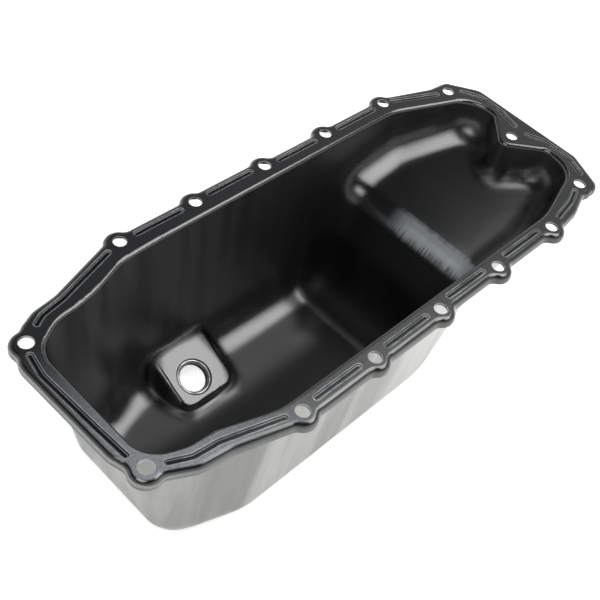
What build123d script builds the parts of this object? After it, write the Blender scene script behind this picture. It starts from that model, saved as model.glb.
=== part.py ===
from build123d import *
import math
import os

os.makedirs("parts", exist_ok=True)

# Pressed steel engine oil pan with a welded-in drain nut.
# Millimetres. +X runs from the deep sump end to the shallow end, +Y to the drain side,
# +Z up. The origin is on the ground, under the middle of the flange.

# Sheet and overall height
sheet = 1.5
panHeight = 124.0
flangeZ = panHeight

# Bolt holes: two straight rails, three holes across the shallow end, two at the deep end
railXs = [-107.0, -49.7, 8.7, 65.7, 125.1]
railSpan = 148.4
boltHoleR = 4.0
endHoleX = 178.0
endHoleSpan = 118.0
deepHoleX = -190.4
deepHoleSpan = 95.2
deepHoleR = 4.2
endRowY = -2.3

# Flange with its down-turned lip
lipDepth = 6.0
lipRoundR = 3.5
earR = 9.6
deepEarR = 9.4
earBlendR = 6.0
mouthRoundR = 2.6
mouthSkinR = 2.5

# Deep sump, step and shallow end. Depths are inner faces below the flange top.
sumpDepth = panHeight - sheet
wallDraft = 3.5
sumpLeftTopX = -188.0
sumpLeftBottomX = -160.7
stepBottomX = 63.3
ridgeX = 81.3
ridgeDepth = 40.0
shallowEndX = 187.8
shallowTailX = 207.8
shallowTailDepth = 19.8
stepFootR = 30.0
ridgeR = 20.0
sumpEndR = 30.0
pocketR = 18.0

# Notch of the shallow end round its middle bolt hole
notchTipX = 163.3
notchTipR = 7.0
notchMouthX = 209.8
notchMouthY = 45.0
notchDepth = 50.0
notchDraft = 6.0
notchFootR = 9.0

# Gasket beads pressed down into the flange
beadWidth = 4.0
beadDepth = 1.1
beadDraft = 35.0
beadSkinWidth = 4.4
farBeadYs = [73.8, 75.2, 73.0, 73.4]
nearBeadYs = [-72.6, -72.6, -70.8, -70.8]
beadGap = 12.0
beadBendR = 12.0

# Drain boss, tilted on the foot of the far wall. Its height is above the sump's inner floor.
drainX = -72.7
drainY = 32.3
drainHeight = 10.5
drainTilt = 25.0
bossLeft = -18.0
bossRight = 24.0
bossLow = -16.3
bossHigh = 44.0
bossDraft = 32.0
bossCornerR = 8.0
bossEdgeR = 3.5
bossFootR = 4.0
bossDrop = 30.0

# Weld nut in the boss
nutBoreR = 9.2
nutCollarR = 12.0
nutCollarDrop = 0.5
nutSinkR = 10.9
nutHoleGap = 0.5
nutFlangeR = 14.0
nutFlangeThick = 6.0
nutChamfer = 2.5
nutMouthChamfer = 1.0


def railHoles():
    return [(x, side * railSpan / 2) for side in (1, -1) for x in railXs]


def endHoles():
    return [(endHoleX, endRowY + k * endHoleSpan / 2) for k in (1, 0, -1)]


def deepHoles():
    return [(deepHoleX, endRowY + k * deepHoleSpan / 2) for k in (1, -1)]


# Outer edge of the flange without its ears: corner points with their corner radii.
# The rails step in or out at some ears, which cover the unrounded corners.
flangeCorners = [
    (-202.1, 37.0, 14.0), (-186.7, 56.5, 8.0), (-175.7, 61.7, 14.0), (-159.7, 63.9, 30.0),
    (-113.4, 79.5, 20.0), (-51.7, 79.5, 0.0), (-47.7, 80.8, 0.0), (6.7, 80.8, 0.0), (10.7, 78.6, 0.0),
    (63.7, 78.6, 0.0), (67.7, 79.3, 0.0), (131.8, 79.3, 20.0), (168.8, 67.4, 10.0), (185.5, 66.0, 7.0),
    (202.0, 44.8, 12.0), (202.0, -42.6, 12.0), (188.3, -72.2, 8.0), (174.1, -68.9, 4.0),
    (154.3, -75.9, 25.0), (127.1, -79.0, 0.0), (123.1, -77.5, 0.0), (67.7, -77.5, 0.0),
    (63.7, -77.9, 0.0), (10.7, -77.9, 0.0), (6.7, -80.2, 0.0), (-47.7, -80.2, 0.0),
    (-51.7, -80.4, 0.0), (-105.0, -80.4, 0.0), (-109.0, -80.8, 0.0),
    (-150.7, -69.2, 25.0), (-170.2, -66.8, 14.0), (-186.7, -58.4, 8.0), (-196.2, -49.0, 6.0),
    (-200.6, -34.0, 22.0),
]

# Mouth of the pan. It runs on past the deep end, where the sloped end wall cuts it off.
mouthCorners = [
    (-218.7, 17.6, 0.0), (-168.7, 47.9, 25.0), (-152.7, 49.4, 60.0), (-138.7, 52.4, 60.0),
    (-114.7, 61.2, 40.0), (-84.0, 62.4, 60.0), (125.3, 63.2, 40.0), (shallowEndX, 41.0, 22.0),
    (shallowEndX, -48.0, 24.0), (133.3, -64.5, 60.0), (-114.7, -65.5, 50.0),
    (-148.7, -54.5, 30.0), (-166.7, -52.9, 30.0), (-218.7, -33.3, 0.0),
]

# Wedge left standing in the shallow end, seen from above
notchCorners = [
    (notchMouthX, endRowY + notchMouthY, 0.0), (notchTipX, endRowY, notchTipR),
    (notchMouthX, endRowY - notchMouthY, 0.0),
]

# Side view of the pocket: sloped end wall, sump floor, step and rising shallow floor
pocketProfile = [
    (sumpLeftTopX, flangeZ, 0.0),
    (sumpLeftBottomX, flangeZ - sumpDepth, sumpEndR),
    (stepBottomX, flangeZ - sumpDepth, stepFootR),
    (ridgeX, flangeZ - ridgeDepth, ridgeR),
    (shallowTailX, flangeZ - shallowTailDepth, 0.0),
    (shallowTailX, flangeZ, 0.0),
]


# Corner list moved outwards by a distance; round corners keep their centres
def grownCorners(corners, grow):
    area = sum(a[0] * b[1] - b[0] * a[1] for a, b in zip(corners, corners[1:] + corners[:1]))
    side = math.copysign(1, area)
    moved = []
    for i, (x, y, r) in enumerate(corners):
        here = Vector(x, y)
        before = (here - Vector(*corners[i - 1][:2])).normalized()
        after = (Vector(*corners[(i + 1) % len(corners)][:2]) - here).normalized()
        outBefore = Vector(before.Y, -before.X) * side
        outAfter = Vector(after.Y, -after.X) * side
        point = here + (outBefore + outAfter) * (grow / (1 + outBefore.dot(outAfter)))
        turn = math.copysign(grow, before.cross(after).Z * side)
        moved.append((point.X, point.Y, r + turn if r > 0 else 0.0))
    return moved


def roundedFace(corners, grow):
    grown = grownCorners(corners, grow)
    with BuildSketch() as face:
        with BuildLine():
            Polyline(*[(x, y) for x, y, r in grown], close=True)
        make_face()
        for x, y, r in grown:
            if r > 0:
                fillet(face.vertices().sort_by_distance((x, y, 0))[0], r)
    return face.sketch


# Edges where the floors of the pocket meet its walls, without the rim at the flange
def bottomEdges(part):
    floors = [f for f in part.faces() if abs(f.normal_at(None).Y) < 0.001 and f.normal_at(None).Z < -0.1]
    edges = []
    for face in floors:
        for edge in face.edges():
            across = edge @ 1 - edge @ 0
            level = abs(across.X) < 0.001 and abs(across.Z) < 0.001
            if level and (edge @ 0.5).X < shallowEndX - mouthRoundR:
                continue
            if (edge @ 0.5).Z < flangeZ - 0.01:
                edges.append(edge)
    return edges


tilt = math.radians(drainTilt)
padNormal = Vector(0, -math.sin(tilt), math.cos(tilt))
padPoint = Vector(drainX, drainY, sheet + drainHeight)
padPlane = Plane(origin=padPoint, x_dir=(1, 0, 0), z_dir=padNormal)


# Edges of a body that lie on the skins of both shapes it was made from, below the rim
def seamEdges(part, first, second):
    return [e for e in part.edges() if (e @ 0.5).Z < flangeZ - 0.01
            and first.shell().distance_to(e @ 0.5) < 0.001
            and second.shell().distance_to(e @ 0.5) < 0.001]


# In the solids below grow is 0 for the inside of the pan and the sheet for its outside
def basinSolid(grow):
    with BuildPart() as basin:
        with BuildSketch(Plane.XY.offset(flangeZ)):
            add(roundedFace(mouthCorners, grow))
        extrude(amount=-(sumpDepth + grow), taper=wallDraft)
        with BuildSketch(Plane.XZ):
            add(roundedFace(pocketProfile, grow))
        extrude(amount=railSpan, both=True, mode=Mode.INTERSECT)
        fillet(bottomEdges(basin.part), pocketR + grow)
    return basin.part


def wedgeSolid(grow):
    with BuildPart() as wedge:
        with BuildSketch(Plane.XY.offset(flangeZ)):
            add(roundedFace(notchCorners, -grow))
        extrude(amount=-notchDepth, taper=-notchDraft)
    return wedge.part


def bossSolid(grow):
    slope = math.radians(bossDraft)
    inset = grow * (1 / math.cos(slope) - math.tan(slope))
    low = bossLow + inset
    with BuildPart() as boss:
        with BuildSketch(padPlane.offset(-grow)):
            with Locations(((bossLeft + bossRight) / 2, (low + bossHigh) / 2)):
                Rectangle(bossRight - bossLeft - 2 * inset, bossHigh - low)
            fillet(vertices().sort_by(Axis.Y)[:2], bossCornerR - inset)
        extrude(amount=-bossDrop, taper=-bossDraft)
        top = boss.faces().filter_by(lambda f: (f.normal_at(None) - padNormal).length < 0.001)[0]
        fillet(top.edges(), bossEdgeR - grow)
    return boss.part


def pocketSolid(grow):
    basin = basinSolid(grow)
    wedge = wedgeSolid(grow)
    boss = bossSolid(grow)
    with BuildPart() as pocket:
        add(basin)
        add(wedge, mode=Mode.SUBTRACT)
        fillet(seamEdges(pocket.part, basin, wedge), notchFootR + grow)
        notched = pocket.part
        add(boss, mode=Mode.SUBTRACT)
        fillet(seamEdges(pocket.part, notched, boss), bossFootR + grow)
    return pocket.part


def flangeFace(grow):
    blend = earBlendR - grow
    with BuildSketch() as face:
        add(roundedFace(flangeCorners, grow))
        with Locations(railHoles() + endHoles()[::2]):
            Circle(earR + grow)
        with Locations(deepHoles()):
            Circle(deepEarR + grow)
        offset(amount=blend, kind=Kind.ARC)
        offset(amount=-blend, kind=Kind.ARC)
    return face.sketch


# Gasket beads: straight ones on the rails, bent ones round both ends
straightBeads = [
    [(start + beadGap, y), (end - beadGap, y)]
    for ys in (farBeadYs, nearBeadYs) for start, end, y in zip(railXs, railXs[1:], ys)
]
bentBeads = [
    [(133.3, 72.5), (167.8, 59.3)],
    [(187.1, 50.6), (194.5, 39.0), (194.5, 20.0), (189.6, 4.0)],
    [(189.1, -7.6), (194.7, -19.0), (194.9, -40.0), (188.1, -55.0)],
    [(169.3, -63.4), (158.3, -67.8), (138.0, -71.3)],
    [(-117.2, -71.2), (-152.7, -61.2), (-168.7, -59.6), (-180.5, -54.2)],
    [(-193.7, -38.5), (-195.0, -15.0), (-196.5, 24.0), (-193.7, 37.5)],
    [(-179.0, 52.2), (-173.2, 55.6), (-157.7, 58.5), (-117.7, 71.3)],
]


def beadFaces(width):
    with BuildSketch() as faces:
        for points in straightBeads + bentBeads:
            with BuildLine(mode=Mode.PRIVATE) as centre:
                if len(points) > 2:
                    FilletPolyline(*points, radius=beadBendR)
                else:
                    Line(*points)
                offset(amount=width / 2, kind=Kind.ARC, side=Side.BOTH, mode=Mode.REPLACE)
            make_face(centre.edges())
    return faces.sketch


inside = pocketSolid(0.0)
outside = pocketSolid(sheet)

with BuildPart() as pan_pressing:
    # Flange plate with its rounded lip, hollowed from below
    with BuildSketch(Plane.XY.offset(flangeZ)):
        add(flangeFace(0.0))
    extrude(amount=-lipDepth)
    fillet(pan_pressing.faces().sort_by(Axis.Z)[-1].edges(), lipRoundR)
    with BuildPart(mode=Mode.PRIVATE) as hollow:
        with BuildSketch(Plane.XY.offset(flangeZ - sheet)):
            add(flangeFace(-sheet))
        extrude(amount=-lipDepth)
        fillet(hollow.faces().sort_by(Axis.Z)[-1].edges(), lipRoundR - sheet)
    add(hollow.part, mode=Mode.SUBTRACT)

    # Beads: a rib below for every groove above
    with BuildSketch(Plane.XY.offset(flangeZ - sheet)):
        add(beadFaces(beadSkinWidth))
    extrude(amount=-beadDepth, taper=beadDraft)
    with BuildSketch(Plane.XY.offset(flangeZ)):
        add(beadFaces(beadWidth))
    extrude(amount=-beadDepth, taper=beadDraft, mode=Mode.SUBTRACT)

    # Drawn pocket hung from the flange, with its mouth rounded above and below
    add(outside)
    add(inside, mode=Mode.SUBTRACT)
    plate = pan_pressing.faces().filter_by(lambda f: abs(f.center().Z - flangeZ) < 0.001)
    mouthWire = max((w for f in plate for w in f.inner_wires()), key=lambda w: w.length)
    fillet(mouthWire.edges(), mouthRoundR)
    under = pan_pressing.edges().filter_by(lambda e: abs((e @ 0.5).Z - flangeZ + sheet) < 0.01)
    fillet([e for e in under if outside.shell().distance_to(e @ 0.5) < 0.01], mouthSkinR)

    # Bolt holes and the hole for the drain nut
    with Locations(Plane.XY.offset(flangeZ)):
        with Locations(railHoles() + endHoles()):
            Hole(boltHoleR, lipDepth)
        with Locations(deepHoles()):
            Hole(deepHoleR, lipDepth)
    with Locations(padPlane.offset(nutFlangeThick)):
        Hole(nutCollarR + nutHoleGap, 2 * nutFlangeThick)

# Weld nut turned about the axis of the pad: collar in the hole, flange against the sheet
nutPlane = Plane(origin=padPoint, x_dir=(1, 0, 0), z_dir=Vector(1, 0, 0).cross(padNormal))
nutFoot = -sheet - nutFlangeThick
with BuildPart() as drain_nut:
    with BuildSketch(nutPlane):
        with BuildLine():
            Polyline(
                (nutBoreR, nutFoot + nutMouthChamfer), (nutBoreR, -nutCollarDrop - nutSinkR + nutBoreR),
                (nutSinkR, -nutCollarDrop), (nutCollarR, -nutCollarDrop), (nutCollarR, -sheet),
                (nutFlangeR, -sheet), (nutFlangeR, nutFoot + nutChamfer),
                (nutFlangeR - nutChamfer, nutFoot), (nutBoreR + nutMouthChamfer, nutFoot), close=True,
            )
        make_face()
    revolve(axis=Axis(padPoint, padNormal))

pan_pressing.part.label = "pan_pressing"
export_step(pan_pressing.part, "parts/pan_pressing.step")
drain_nut.part.label = "drain_nut"
export_step(drain_nut.part, "parts/drain_nut.step")
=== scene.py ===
import math
from functools import partial

import bpy
import numpy as np
from mathutils import Matrix, Vector


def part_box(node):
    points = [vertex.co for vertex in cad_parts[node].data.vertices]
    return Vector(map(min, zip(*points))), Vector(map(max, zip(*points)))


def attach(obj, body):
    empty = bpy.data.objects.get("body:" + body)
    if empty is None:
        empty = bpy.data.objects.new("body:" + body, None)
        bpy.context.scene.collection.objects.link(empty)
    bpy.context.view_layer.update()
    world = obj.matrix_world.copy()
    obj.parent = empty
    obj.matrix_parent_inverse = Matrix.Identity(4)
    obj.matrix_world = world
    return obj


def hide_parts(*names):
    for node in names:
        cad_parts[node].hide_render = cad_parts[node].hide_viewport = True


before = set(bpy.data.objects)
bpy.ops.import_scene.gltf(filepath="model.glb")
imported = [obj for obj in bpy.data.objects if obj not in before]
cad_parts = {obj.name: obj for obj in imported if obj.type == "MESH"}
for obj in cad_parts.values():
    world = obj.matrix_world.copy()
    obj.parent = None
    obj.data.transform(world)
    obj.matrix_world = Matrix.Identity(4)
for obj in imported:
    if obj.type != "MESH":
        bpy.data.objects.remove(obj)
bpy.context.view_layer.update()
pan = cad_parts["pan_pressing"]
print("frame loaded")

mm = 0.001
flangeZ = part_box("pan_pressing")[1].z

# The photograph's camera, solved from the bolt holes
view = {
    "place": Vector((-375.8, -232.3, 541.7)) * mm,
    "right": Vector((0.6915, -0.7004, 0.1763)),
    "up": Vector((0.4486, 0.6080, 0.6551)),
    "forward": Vector((0.5660, 0.3739, -0.7347)),
    "lens": 60.57,
    "sensor": 36.0,
    "clipStart": 0.01,
}


def addObject(name, data):
    newObject = bpy.data.objects.new(name, data)
    bpy.context.scene.collection.objects.link(newObject)
    return newObject


def addCamera():
    camera = bpy.data.cameras.new("camera")
    camera.lens = view["lens"]
    camera.sensor_width = view["sensor"]
    camera.clip_start = view["clipStart"]
    cameraObject = addObject("camera", camera)
    turn = Matrix((view["right"], view["up"], -view["forward"])).transposed()
    cameraObject.matrix_world = Matrix.Translation(view["place"]) @ turn.to_4x4()
    bpy.context.scene.camera = cameraObject


addCamera()
bpy.context.scene.view_settings.view_transform = "Standard"
print("camera placed")


# Hex colour to linear
def linear(code):
    values = [int(code[i:i + 2], 16) / 255 for i in (1, 3, 5)]
    return [v / 12.92 if v <= 0.04045 else ((v + 0.055) / 1.055) ** 2.4 for v in values] + [1.0]


def newMaterial(name):
    material = bpy.data.materials.new(name)
    material.use_nodes = True
    return material, material.node_tree, material.node_tree.nodes["Principled BSDF"]


# Sets or links the sockets of a node, given in order, or by name or number in a dictionary.
# A node stands for its first output, and a (node, output) pair for any other.
def feed(tree, node, inputs):
    for socket, value in inputs.items() if isinstance(inputs, dict) else enumerate(inputs):
        source = (value, 0) if isinstance(value, bpy.types.Node) else value
        if isinstance(source, tuple) and isinstance(source[0], bpy.types.Node):
            tree.links.new(source[0].outputs[source[1]], node.inputs[socket])
        else:
            node.inputs[socket].default_value = value


# Adds one node with its settings and links
def addNode(tree, kind, inputs=(), **settings):
    node = tree.nodes.new("ShaderNode" + kind)
    for name, value in settings.items():
        setattr(node, name, value)
    feed(tree, node, inputs)
    return node


# Masks, numbers and smooth steps multiplied together. A step (value, from, to) runs from 0 to 1,
# and (value, from, to, low, high) from low to high.
def fadeOver(tree, *parts):
    result = None
    for part in parts:
        if isinstance(part, tuple) and len(part) > 2:
            part = addNode(tree, "MapRange", part, interpolation_type="SMOOTHSTEP")
        result = part if result is None else addNode(tree, "Math", [result, part], operation="MULTIPLY")
    return result


# Noise whose cells measure the given millimetres along X, Y and Z
def grain(tree, spot, cell, detail=2.0):
    scale = Vector([1 / (c * mm) for c in cell])
    place = addNode(tree, "VectorMath", [spot, scale], operation="MULTIPLY")
    return addNode(tree, "TexNoise", {"Vector": place, "Scale": 1.0, "Detail": detail})


# The range in which most of a noise lies
noiseSpan = (0.3, 0.7)


# 1 for the rays of the named kinds
def seenRay(tree, kinds):
    path = addNode(tree, "LightPath")
    seen = (path, kinds[0])
    for kind in kinds[1:]:
        seen = addNode(tree, "Math", [seen, (path, kind)], operation="MAXIMUM")
    return seen


# Two softboxes overhead: the large one over the shallow end, the small one over the deep end.
# Their near edges draw the highlights on the fillets, and the flat floors stay dark.
# Places and sizes are in metres, turns in degrees.
softboxes = {
    "shallow_softbox": {
        "place": Vector((0.875, -0.46, 1.60)), "sizeX": 0.90, "sizeY": 1.64, "turn": -8.0, "radiance": 5.5,
    },
    "deep_softbox": {
        "place": Vector((-0.925, -0.24, 1.60)), "sizeX": 0.85, "sizeY": 0.95, "turn": 0.0, "radiance": 5.0,
    },
}


def addSoftbox(name, lamp):
    data = bpy.data.lights.new(name, "AREA")
    data.shape = "RECTANGLE"
    data.size = lamp["sizeX"]
    data.size_y = lamp["sizeY"]
    data.energy = lamp["radiance"] * math.pi * lamp["sizeX"] * lamp["sizeY"]
    lampObject = addObject(name, data)
    lampObject.location = lamp["place"]
    lampObject.rotation_euler = (0, 0, math.radians(lamp["turn"]))


for name, lamp in softboxes.items():
    addSoftbox(name, lamp)


# Studio room: pale walls round a dim ceiling, which the flat black floors of the pan reflect.
# To the camera it is plain white.
room = {"white": linear("#ffffff"), "walls": 1.0, "wallsTo": 0.20, "ceiling": 0.03, "ceilingFrom": 0.72}


def addWorld():
    world = bpy.data.worlds.new("studio")
    world.use_nodes = True
    bpy.context.scene.world = world
    tree = world.node_tree
    tree.nodes.clear()
    add, fade = [partial(step, tree) for step in (addNode, fadeOver)]
    direction = add("SeparateXYZ", [(add("TexCoord"), "Generated")])
    level = fade(((direction, "Z"), room["wallsTo"], room["ceilingFrom"], room["walls"], room["ceiling"]))
    around = add("Background", {"Color": room["white"], "Strength": level})
    white = add("Background", {"Color": room["white"], "Strength": 1.0})
    seen = seenRay(tree, ["Is Camera Ray", "Is Transmission Ray"])
    add("OutputWorld", {"Surface": add("MixShader", [seen, around, white])})


addWorld()
print("lights set")

# Matt white studio paper, which shows as even white with a soft shadow. Sizes are in metres.
# It glows to the camera and in reflections, and fully so beyond the pan's shadow.
floorPaper = {
    "paper": linear("#f7f7f7"),
    "rough": 0.9,
    "halfSize": 4.0,
    "glow": linear("#ffffff"),
    "glowReach": (0.35, 1.0),
    "glowLevel": (0.6, 1.0),
}


def floorMaterial():
    material, tree, shader = newMaterial("studio_paper")
    add, fade = [partial(step, tree) for step in (addNode, fadeOver)]
    feed(tree, shader, {"Base Color": floorPaper["paper"], "Roughness": floorPaper["rough"]})
    away = (add("VectorMath", [(add("TexCoord"), "Object")], operation="LENGTH"), "Value")
    seen = seenRay(tree, ["Is Camera Ray", "Is Glossy Ray", "Is Transmission Ray"])
    level = fade(seen, (away, *floorPaper["glowReach"], *floorPaper["glowLevel"]))
    glow = add("Emission", {"Color": floorPaper["glow"], "Strength": level})
    feed(tree, tree.nodes["Material Output"], {"Surface": add("AddShader", [shader, glow])})
    return material


def addFloor():
    half = floorPaper["halfSize"]
    corners = [(-half, -half, 0), (half, -half, 0), (half, half, 0), (-half, half, 0)]
    mesh = bpy.data.meshes.new("studio_floor")
    mesh.from_pydata(corners, [], [(0, 1, 2, 3)])
    mesh.materials.append(floorMaterial())
    floor = addObject("studio_floor", mesh)


addFloor()
print("floor laid")

# Weld nut in the tilted pad, M20 x 1.5, in millimetres and degrees. The thread is cut in the rows of
# the profile inside boreR, and the darker colour covers those inside darkR and below darkZ.
nutShape = {
    "place": Vector((-72.7, 32.3, 12.0)) * mm,
    "tilt": 25.0,
    "pitch": 1.5,
    "depth": 0.75,
    "boreR": 9.3,
    "darkR": 11.0,
    "darkZ": -1.9,
    "columns": 96,
}

# Pressed steel. The black dip coat inside and on the flange looks dark and glossy, with broad soft
# lights in the fillets. Outside, under the lip, a pale satin metal colour is painted reflection of the white
# floor.
panFinish = {
    # Colours
    "coatDeep": linear("#0c0d0e"),
    "coatPale": linear("#17181a"),
    "wallGlowTone": linear("#404143"),
    "flangeLitTone": linear("#222325"),
    "paintedCornerLight": linear("#999da0"),
    "rubbedAndHighlight": linear("#d2d5d8"),
    "burnishedAndHighlight": linear("#9ba1a5"),
    "reflectionDull": linear("#767673"),
    "reflectionBright": linear("#aeaeab"),
    # Roughness, and how much the worn places, with their painted highlights, are metal
    "coatRough": (0.172, 0.184),
    "wallRough": 0.40,
    "footRough": 0.45,
    "footGloss": 0.15,
    "flangeRough": 0.24,
    "burnishRough": 0.38,
    "reflectionRough": (0.28, 0.34),
    "wornMetal": 0.7,
    # Places. The faces of the pocket look to its heart, and the outside looks away from it.
    "heart": Vector((0, 0, 0.5)),
    "lipLow": flangeZ - 6.2 * mm,
    "ridgeX": (78.0 * mm, 97.0 * mm),
    "ridgeLow": 66.0 * mm,
    "footX": 20 * mm,
    "cornerLightPlace": Vector((-190, -62, 124)) * mm,
    # Radii within which edges count as rubbed and highlighted, and the coat as pooled
    "edgeR": 0.7 * mm,
    "poolR": 11.0 * mm,
    # Cells of the grain in millimetres
    "cloudCell": (38, 38, 60),
    "streakCell": (3.0, 3.0, 70),
    "wallGlowCell": (14, 14, 160),
    "wearCell": (9, 9, 9),
    "scratchCell": (22, 0.9, 22),
    "speckCell": (0.9, 0.9, 0.9),
    "fluteCell": (26, 26, 700),
    "peelCell": (7, 7, 7),
    "sandCell": (0.45, 0.45, 0.45),
    # Heights of the relief
    "peelHeight": 0.006 * mm,
    "sandHeight": 0.035 * mm,
    "scoreHeight": 0.03 * mm,
    "fluteHeight": 1.6 * mm,
    "weldHeight": 0.05 * mm,
    # Smooth steps (from, to), or (from, to, low, high)
    "flangeZ": (flangeZ - 1.0 * mm, flangeZ - 0.2 * mm),
    "flangeFacing": (0.90, 0.99),
    "edgeBend": (0.998, 0.975),
    "edgeZ": (flangeZ - 3.0 * mm, flangeZ - 1.3 * mm),
    "edgeWear": (0.35, 0.60, 0.55, 1.0),
    "bandRag": (*noiseSpan, -0.05, 0.05),
    "bandTop": (-0.17, -0.40),
    "bandFoot": (-0.90, -0.72),
    "bandY": (22 * mm, 0.0),
    "bandWear": (0.30, 0.62, 0.82, 1.0),
    "streakTone": (*noiseSpan, 0.6, 1.0),
    "wallGlowFacing": (-0.5, -0.95),
    "wallGlowX": (60 * mm, -120 * mm, 0.15, 1.0),
    "wallGlowStreaks": (*noiseSpan, 0.4, 1.0),
    "speckTone": (0.35, 0.70, 0.45, 0.85),
    "cornerLightReach": (110 * mm, 10 * mm),
    "cornerLightX": (-150 * mm, -195 * mm),
    "cornerLightZ": (flangeZ - 5.7 * mm, flangeZ - 3 * mm),
    "cornerLightFacing": (0.98, 0.90),
    "reflectionLightX": (-90 * mm, 80 * mm, 0.12, 0.80),
    "fluteShade": (0.38, 0.62, -0.28, 0.28),
    "wallFacing": (0.45, 0.12),
    "footFacing": (-0.02, -0.30),
    "footZ": (60 * mm, 40 * mm),
    "weldRise": (15.6 * mm, 17.2 * mm),
    "weldFall": (19.2 * mm, 17.6 * mm),
    "poolZ": (flangeZ - 9 * mm, flangeZ - 20 * mm),
    "poolFromNut": (15 * mm, 38 * mm),
}


def panMaterial():
    material, tree, shader = newMaterial("dip_coated_pressed_steel")
    add, fade, noise = [partial(step, tree) for step in (addNode, fadeOver, grain)]
    spot = (add("TexCoord"), "Object")
    normal = (add("NewGeometry"), "Normal")
    place, facing = add("SeparateXYZ", [spot]), add("SeparateXYZ", [normal])
    x, y, z = [(place, k) for k in range(3)]
    facingX, facingY, facingZ = [(facing, k) for k in range(3)]

    # Outside of the pocket under the lip, which carries the painted floor reflection
    fromHeart = add("VectorMath", [spot, panFinish["heart"]], operation="SUBTRACT")
    outward = (add("VectorMath", [fromHeart, normal], operation="DOT_PRODUCT"), "Value")
    outer = add("Math", [outward, 0.0], operation="GREATER_THAN")
    inner = add("Math", [1.0, outer], operation="SUBTRACT")
    reflectionSkin = fade(outer, add("Math", [z, panFinish["lipLow"]], operation="LESS_THAN"))

    # Top face of the flange, semi-matt, and slightly paler: a painted reflection of the room
    flange = fade((z, *panFinish["flangeZ"]), (facingZ, *panFinish["flangeFacing"]))

    # Edges of beads, mouth and holes: rubbed coat with a painted highlight along them
    rounded = add("Bevel", {"Radius": panFinish["edgeR"]}, samples=4)
    bend = (add("VectorMath", [rounded, normal], operation="DOT_PRODUCT"), "Value")
    edgeWearAndHighlight = fade(
        (bend, *panFinish["edgeBend"]),
        (z, *panFinish["edgeZ"]),
        (noise(spot, panFinish["wearCell"]), *panFinish["edgeWear"]),
    )

    # Band on the ridge, ragged along the draw direction: burnished metal with a painted highlight
    scratch = noise(spot, panFinish["scratchCell"], 3.0)
    tilt = add("Math", [facingX, fade((scratch, *panFinish["bandRag"]))], operation="ADD")
    ridgeWearAndHighlight = fade(
        (tilt, *panFinish["bandTop"]),
        (tilt, *panFinish["bandFoot"]),
        add("Math", [x, panFinish["ridgeX"][0]], operation="GREATER_THAN"),
        add("Math", [x, panFinish["ridgeX"][1]], operation="LESS_THAN"),
        add("Math", [z, panFinish["ridgeLow"]], operation="GREATER_THAN"),
        (y, *panFinish["bandY"]),
        (scratch, *panFinish["bandWear"]),
        inner,
    )
    # Worn places: rubbed edges and ridge band, both also painted highlight
    worn = add("Math", [ridgeWearAndHighlight, edgeWearAndHighlight], operation="MAXIMUM")

    # Coat: cloudy tone and streaks down the walls, and a painted glow of light on the far wall, strongest to
    # the deep end
    streak = noise(spot, panFinish["streakCell"], 3.0)
    cloudy = fade((noise(spot, panFinish["cloudCell"]), *noiseSpan), (streak, *panFinish["streakTone"]))
    paintedWallGlow = fade(
        (facingY, *panFinish["wallGlowFacing"]),
        (x, *panFinish["wallGlowX"]),
        (noise(spot, panFinish["wallGlowCell"]), *panFinish["wallGlowStreaks"]),
    )

    # Painted reflection on the flange and down its lip at the near corner of the deep end, in pale specks
    speck = fade((noise(spot, panFinish["speckCell"], 3.0), *panFinish["speckTone"]))
    corner = (add("VectorMath", [spot, panFinish["cornerLightPlace"]], operation="DISTANCE"), "Value")
    onFlange = fade((corner, *panFinish["cornerLightReach"]), speck, flange)
    onLip = fade(
        (z, *panFinish["cornerLightZ"]),
        outer,
        (x, *panFinish["cornerLightX"]),
        (facingZ, *panFinish["cornerLightFacing"]),
        speck,
    )
    paintedCornerLight = add("Math", [onFlange, onLip], operation="MAXIMUM")

    # Painted reflection outside: pale metal colour, lighter to the shallow end, with painted shading along
    # the draw flutes down the wall
    flute = noise(spot, panFinish["fluteCell"], 1.5)
    paintedShallowLight, paintedFluteShade = fade((x, *panFinish["reflectionLightX"])), fade((flute, *panFinish["fluteShade"]))
    reflectionTone = add("Math", [paintedShallowLight, paintedFluteShade], operation="ADD", use_clamp=True)
    reflectionEnds = {6: panFinish["reflectionDull"], 7: panFinish["reflectionBright"]}
    paintedReflection = (add("Mix", {0: reflectionTone, **reflectionEnds}, data_type="RGBA"), 2)

    # Colours in layers, each over the one before
    colour = panFinish["coatDeep"]
    for mask, tone in [
        (cloudy, panFinish["coatPale"]),
        (paintedWallGlow, panFinish["wallGlowTone"]),
        (flange, panFinish["flangeLitTone"]),
        (paintedCornerLight, panFinish["paintedCornerLight"]),
        (edgeWearAndHighlight, panFinish["rubbedAndHighlight"]),
        (ridgeWearAndHighlight, panFinish["burnishedAndHighlight"]),
        (reflectionSkin, paintedReflection),
    ]:
        colour = (add("Mix", {0: mask, 6: colour, 7: tone}, data_type="RGBA"), 2)
    metal = add("Math", [reflectionSkin, fade(worn, panFinish["wornMetal"])], operation="MAXIMUM")

    # Roughness in layers. The foot of the step is the dullest place.
    pastFoot = add("Math", [x, panFinish["footX"]], operation="GREATER_THAN")
    foot = fade((facingX, *panFinish["footFacing"]), pastFoot, (z, *panFinish["footZ"]))
    rough = fade((streak, *noiseSpan, *panFinish["coatRough"]))
    for mask, value in [
        (fade((facingZ, *panFinish["wallFacing"])), panFinish["wallRough"]),
        (foot, panFinish["footRough"]),
        (flange, panFinish["flangeRough"]),
        (worn, panFinish["burnishRough"]),
        (reflectionSkin, fade((streak, *noiseSpan, *panFinish["reflectionRough"]))),
    ]:
        rough = add("Mix", {0: mask, 2: rough, 3: value})
    gloss = add("Mix", {0: foot, 2: 1.0, 3: panFinish["footGloss"]})

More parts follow.
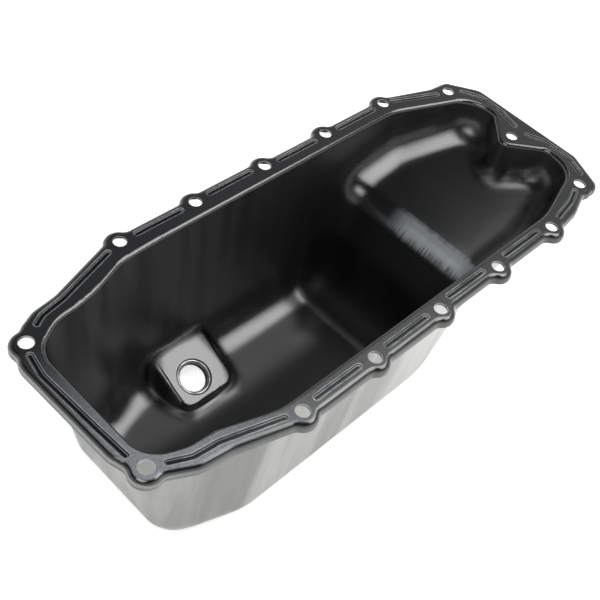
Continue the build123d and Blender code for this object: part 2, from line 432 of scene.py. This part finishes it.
    # Relief: orange peel of the coat, sand on the flange, scores of the band, flutes outside,
    # and the low ring of weld round the nut
    fromNut = (add("VectorMath", [spot, nutShape["place"]], operation="DISTANCE"), "Value")
    relief = fade(noise(spot, panFinish["peelCell"], 1.0), (reflectionSkin, 0.0, 1.0, panFinish["peelHeight"], 0.0))
    for height in [
        fade(noise(spot, panFinish["sandCell"]), flange, panFinish["sandHeight"]),
        fade(scratch, ridgeWearAndHighlight, panFinish["scoreHeight"]),
        fade(flute, reflectionSkin, panFinish["fluteHeight"]),
        fade((fromNut, *panFinish["weldRise"]), (fromNut, *panFinish["weldFall"]), panFinish["weldHeight"]),
    ]:
        relief = add("Math", [relief, height], operation="ADD")

    # Thick coat pooled in the fillets of the pocket, which softens their light
    pooled = add("Bevel", {"Radius": panFinish["poolR"]}, samples=8)
    pool = fade((z, *panFinish["poolZ"]), (fromNut, *panFinish["poolFromNut"]), inner)
    soft = add("Mix", {0: pool, 4: normal, 5: pooled}, data_type="VECTOR")
    soft = add("VectorMath", [(soft, 1)], operation="NORMALIZE")
    feed(tree, shader, {
        "Base Color": colour,
        "Metallic": metal,
        "Roughness": rough,
        "Specular IOR Level": gloss,
        "Normal": add("Bump", {"Strength": 1.0, "Distance": 1.0, "Height": relief, "Normal": soft}),
    })
    return material


# Zinc-plated steel nut, which looks dull grey and patchy, and darker brown in the thread.
# Cells are in millimetres.
nutFinish = {
    "plate": linear("#a9abac"),
    "worn": linear("#777674"),
    "thread": linear("#2e2924"),
    "metal": 0.85,
    "rough": (0.28, 0.42),
    "wornSpan": (0.35, 0.65),
    "patchCell": (4, 4, 4),
    "gritCell": (0.8, 0.8, 0.8),
    "gritHeight": 0.03 * mm,
}


def nutMaterial():
    material, tree, shader = newMaterial("plated_weld_nut")
    add, fade, noise = [partial(step, tree) for step in (addNode, fadeOver, grain)]
    spot = (add("TexCoord"), "Object")
    deep = (add("Attribute", attribute_name="bore"), "Fac")
    patch = noise(spot, nutFinish["patchCell"])
    worn = fade((patch, *nutFinish["wornSpan"]))
    colour = nutFinish["plate"]
    for mask, tone in [(worn, nutFinish["worn"]), (deep, nutFinish["thread"])]:
        colour = (add("Mix", {0: mask, 6: colour, 7: tone}, data_type="RGBA"), 2)
    grit = fade(noise(spot, nutFinish["gritCell"]), nutFinish["gritHeight"])
    feed(tree, shader, {
        "Base Color": colour,
        "Metallic": nutFinish["metal"],
        "Roughness": fade((patch, *noiseSpan, *nutFinish["rough"])),
        "Normal": add("Bump", {"Strength": 1.0, "Distance": 1.0, "Height": grit}),
    })
    return material


# Profile of the nut from its foot up through relief, thread and countersink, then down the outside,
# as radius and height in millimetres
threadRows = [(9.25, -4.4 + 2.1 * k / 16) for k in range(17)]
nutProfile = [
    (11.3, -7.5), (10.9, -7.2), (10.8, -5.0), (10.1, -4.6), *threadRows,
    (9.4, -2.1), (10.6, -0.75), (10.8, -0.55), (11.0, -0.50), (11.4, -0.50), (11.6, -0.56),
    (11.7, -0.72), (11.7, -1.50), (13.6, -1.50), (13.9, -1.6), (14.0, -1.85), (14.0, -4.9), (13.9, -5.15),
    (11.75, -7.4), (11.6, -7.5),
]


# Each point lies at place + radius * (cos(angle) * X + sin(angle) * side) + height * axis.
# The thread adds depth * (1 - |2t - 1|) to the radius, with t = height / pitch - angle / full turn.
def addNut():
    rows, columns = len(nutProfile), nutShape["columns"]
    angle = np.arange(columns) * 2 * np.pi / columns
    radius, height = [np.array(v)[:, None] for v in zip(*nutProfile)]
    dark = (radius < nutShape["darkR"]) & (height < nutShape["darkZ"])
    t = np.mod(height / nutShape["pitch"] - angle / (2 * np.pi), 1.0)
    radius = radius + (radius < nutShape["boreR"]) * nutShape["depth"] * (1 - np.abs(2 * t - 1))
    tilt = math.radians(nutShape["tilt"])
    axis = np.array([0, -math.sin(tilt), math.cos(tilt)])
    side = np.array([0, math.cos(tilt), math.sin(tilt)])
    around = np.cos(angle)[:, None] * np.array([1, 0, 0]) + np.sin(angle)[:, None] * side
    points = (radius[..., None] * around + height[..., None] * axis) * mm + np.array(nutShape["place"])

    i, k = np.meshgrid(np.arange(rows), np.arange(columns), indexing="ij")
    nextRow, nextColumn = (i + 1) % rows * columns, (k + 1) % columns
    faces = np.stack([i * columns + k, nextRow + k, nextRow + nextColumn, i * columns + nextColumn], axis=-1)
    mesh = bpy.data.meshes.new("drain_nut_threaded")
    mesh.from_pydata(points.reshape(-1, 3).tolist(), [], faces.reshape(-1, 4).tolist())
    mesh.shade_smooth()
    bore = mesh.attributes.new("bore", "FLOAT", "POINT")
    bore.data.foreach_set("value", np.repeat(dark.astype(np.float32), columns))
    mesh.materials.append(nutMaterial())
    piece = addObject("drain_nut_threaded", mesh)
    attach(piece, "root")
    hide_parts("drain_nut")


def dress(node, material):
    node.data.materials.clear()
    node.data.materials.append(material)


dress(pan, panMaterial())
print("pan coated")
addNut()
print("nut threaded")
